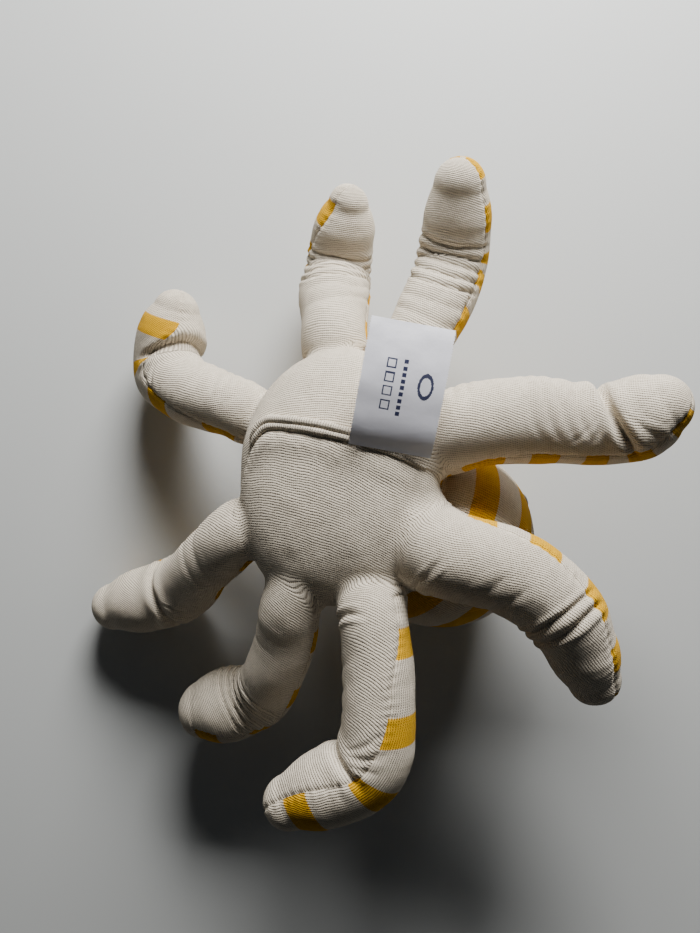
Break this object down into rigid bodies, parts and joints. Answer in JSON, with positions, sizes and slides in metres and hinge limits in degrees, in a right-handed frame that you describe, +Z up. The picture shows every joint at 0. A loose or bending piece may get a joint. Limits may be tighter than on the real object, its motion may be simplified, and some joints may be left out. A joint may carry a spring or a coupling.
{
  "type": "stuffed octopus toy",
  "caption": "Stuffed knitted octopus lying upside down on its round head, with bent padded legs that lift and curl, and a sewn-in care label.",
  "frame": {"origin": "centre of the flat patch on which the stuffed head rests", "axes": "+Z up from the surface, out through the toy's underside; -Z out of the patch that rests; +Y along its longest spread of legs; +X towards the side that the head leans to"},
  "size_m": [0.2463, 0.2629, 0.0989],
  "materials": {
    "striped_jersey": "ribbed jersey in mustard and ecru bands",
    "cream_jersey": "plain ecru stockinette jersey",
    "polyester_filling": "loose white fibre",
    "embroidery": "satin-stitched black thread",
    "satin_label": "woven satin with a soft gloss"
  },
  "bodies": {
    "torso": {"head_cover": "striped_jersey", "head_filling": "polyester_filling", "left_eye": "embroidery", "right_eye": "embroidery", "neck_cover": "striped_jersey", "neck_filling": "polyester_filling", "upper_underside_panel": "cream_jersey", "lower_underside_panel": "cream_jersey", "base_filling": "polyester_filling", "closing_seam": "cream_jersey", "care_label": "satin_label"},
    "leg_1_thigh": {"leg_1_thigh_under_panel": "cream_jersey", "leg_1_thigh_top_panel": "striped_jersey", "leg_1_thigh_filling": "polyester_filling"},
    "leg_1_tip": {"leg_1_tip_under_panel": "cream_jersey", "leg_1_tip_top_panel": "striped_jersey", "leg_1_tip_filling": "polyester_filling"},
    "leg_2_thigh": {"leg_2_thigh_under_panel": "cream_jersey", "leg_2_thigh_top_panel": "striped_jersey", "leg_2_thigh_filling": "polyester_filling"},
    "leg_2_tip": {"leg_2_tip_under_panel": "cream_jersey", "leg_2_tip_top_panel": "striped_jersey", "leg_2_tip_filling": "polyester_filling"},
    "leg_3_thigh": {"leg_3_thigh_under_panel": "cream_jersey", "leg_3_thigh_top_panel": "striped_jersey", "leg_3_thigh_filling": "polyester_filling"},
    "leg_3_tip": {"leg_3_tip_under_panel": "cream_jersey", "leg_3_tip_top_panel": "striped_jersey", "leg_3_tip_filling": "polyester_filling"},
    "leg_4_thigh": {"leg_4_thigh_under_panel": "cream_jersey", "leg_4_thigh_top_panel": "striped_jersey", "leg_4_thigh_filling": "polyester_filling"},
    "leg_4_tip": {"leg_4_tip_under_panel": "cream_jersey", "leg_4_tip_top_panel": "striped_jersey", "leg_4_tip_filling": "polyester_filling"},
    "leg_5_thigh": {"leg_5_thigh_under_panel": "cream_jersey", "leg_5_thigh_top_panel": "striped_jersey", "leg_5_thigh_filling": "polyester_filling"},
    "leg_5_tip": {"leg_5_tip_under_panel": "cream_jersey", "leg_5_tip_top_panel": "striped_jersey", "leg_5_tip_filling": "polyester_filling"},
    "leg_6_thigh": {"leg_6_thigh_under_panel": "cream_jersey", "leg_6_thigh_top_panel": "striped_jersey", "leg_6_thigh_filling": "polyester_filling"},
    "leg_6_tip": {"leg_6_tip_under_panel": "cream_jersey", "leg_6_tip_top_panel": "striped_jersey", "leg_6_tip_filling": "polyester_filling"},
    "leg_7_thigh": {"leg_7_thigh_under_panel": "cream_jersey", "leg_7_thigh_top_panel": "striped_jersey", "leg_7_thigh_filling": "polyester_filling"},
    "leg_7_tip": {"leg_7_tip_under_panel": "cream_jersey", "leg_7_tip_top_panel": "striped_jersey", "leg_7_tip_filling": "polyester_filling"},
    "leg_8_thigh": {"leg_8_thigh_under_panel": "cream_jersey", "leg_8_thigh_top_panel": "striped_jersey", "leg_8_thigh_filling": "polyester_filling"},
    "leg_8_tip": {"leg_8_tip_under_panel": "cream_jersey", "leg_8_tip_top_panel": "striped_jersey", "leg_8_tip_filling": "polyester_filling"}
  },
  "joints": [
    {"name": "leg_1_root", "type": "hinge", "parent": "torso", "child": "leg_1_thigh", "pos_m": [-0.08666, 0.05509, 0.05131], "axis": [0.4226, 0.9063, 0], "range_deg": [-3, 25], "stiffness_Nm_per_rad": 0.25},
    {"name": "leg_1_knee", "type": "hinge", "parent": "leg_1_thigh", "child": "leg_1_tip", "pos_m": [-0.12415, 0.07258, 0.01659], "axis": [0.6718, -0.029, -0.7402], "range_deg": [-22, 12], "stiffness_Nm_per_rad": 0.15},
    {"name": "leg_2_root", "type": "hinge", "parent": "torso", "child": "leg_2_thigh", "pos_m": [-0.0467, 0.08528, 0.05465], "axis": [0.9976, -0.0698, 0], "range_deg": [-4, 25], "stiffness_Nm_per_rad": 0.25},
    {"name": "leg_2_knee", "type": "hinge", "parent": "leg_2_thigh", "child": "leg_2_tip", "pos_m": [-0.0446, 0.11532, 0.02121], "axis": [0.983, -0.1629, -0.0846], "range_deg": [-22, 12], "stiffness_Nm_per_rad": 0.15},
    {"name": "leg_3_root", "type": "hinge", "parent": "torso", "child": "leg_3_thigh", "pos_m": [-0.01425, 0.07694, 0.06457], "axis": [0.891, -0.454, 0], "range_deg": [-12, 25], "stiffness_Nm_per_rad": 0.25},
    {"name": "leg_3_knee", "type": "hinge", "parent": "leg_3_thigh", "child": "leg_3_tip", "pos_m": [0.00456, 0.11385, 0.04699], "axis": [0.8572, -0.2136, 0.4685], "range_deg": [-22, 12], "stiffness_Nm_per_rad": 0.15},
    {"name": "leg_4_root", "type": "hinge", "parent": "torso", "child": "leg_4_thigh", "pos_m": [0.00562, 0.04487, 0.07655], "axis": [-0.0349, -0.9994, 0], "range_deg": [-5, 25], "stiffness_Nm_per_rad": 0.25},
    {"name": "leg_4_knee", "type": "hinge", "parent": "leg_4_thigh", "child": "leg_4_tip", "pos_m": [0.06058, 0.04295, 0.07559], "axis": [0.0011, -0.4208, 0.9071], "range_deg": [-22, 12], "stiffness_Nm_per_rad": 0.15},
    {"name": "leg_5_root", "type": "hinge", "parent": "torso", "child": "leg_5_thigh", "pos_m": [-0.0028, -0.00343, 0.08503], "axis": [-0.4226, -0.9063, 0], "range_deg": [0, 25], "stiffness_Nm_per_rad": 0.25},
    {"name": "leg_5_knee", "type": "hinge", "parent": "leg_5_thigh", "child": "leg_5_tip", "pos_m": [0.0407, -0.02371, 0.0842], "axis": [0.1538, 0.3676, -0.9172], "range_deg": [-22, 12], "stiffness_Nm_per_rad": 0.15},
    {"name": "leg_6_root", "type": "hinge", "parent": "torso", "child": "leg_6_thigh", "pos_m": [-0.03073, -0.02689, 0.08321], "axis": [-0.9994, -0.0349, 0], "range_deg": [-6, 25], "stiffness_Nm_per_rad": 0.25},
    {"name": "leg_6_knee", "type": "hinge", "parent": "leg_6_thigh", "child": "leg_6_tip", "pos_m": [-0.02878, -0.08278, 0.08028], "axis": [0.1652, 0.0574, -0.9846], "range_deg": [-22, 12], "stiffness_Nm_per_rad": 0.15},
    {"name": "leg_7_root", "type": "hinge", "parent": "torso", "child": "leg_7_thigh", "pos_m": [-0.06595, -0.02512, 0.07404], "axis": [-0.9703, 0.2419, 0], "range_deg": [-10, 25], "stiffness_Nm_per_rad": 0.25},
    {"name": "leg_7_knee", "type": "hinge", "parent": "leg_7_thigh", "child": "leg_7_tip", "pos_m": [-0.07763, -0.07199, 0.03205], "axis": [-0.0034, 0.6677, -0.7444], "range_deg": [-22, 12], "stiffness_Nm_per_rad": 0.15},
    {"name": "leg_8_root", "type": "hinge", "parent": "torso", "child": "leg_8_thigh", "pos_m": [-0.0898, 0.0018, 0.0622], "axis": [-0.7771, 0.6293, 0], "range_deg": [-5, 25], "stiffness_Nm_per_rad": 0.25},
    {"name": "leg_8_knee", "type": "hinge", "parent": "leg_8_thigh", "child": "leg_8_tip", "pos_m": [-0.11212, -0.02576, 0.02281], "axis": [-0.0604, 0.8336, -0.5491], "range_deg": [-22, 12], "stiffness_Nm_per_rad": 0.15}
  ]
}
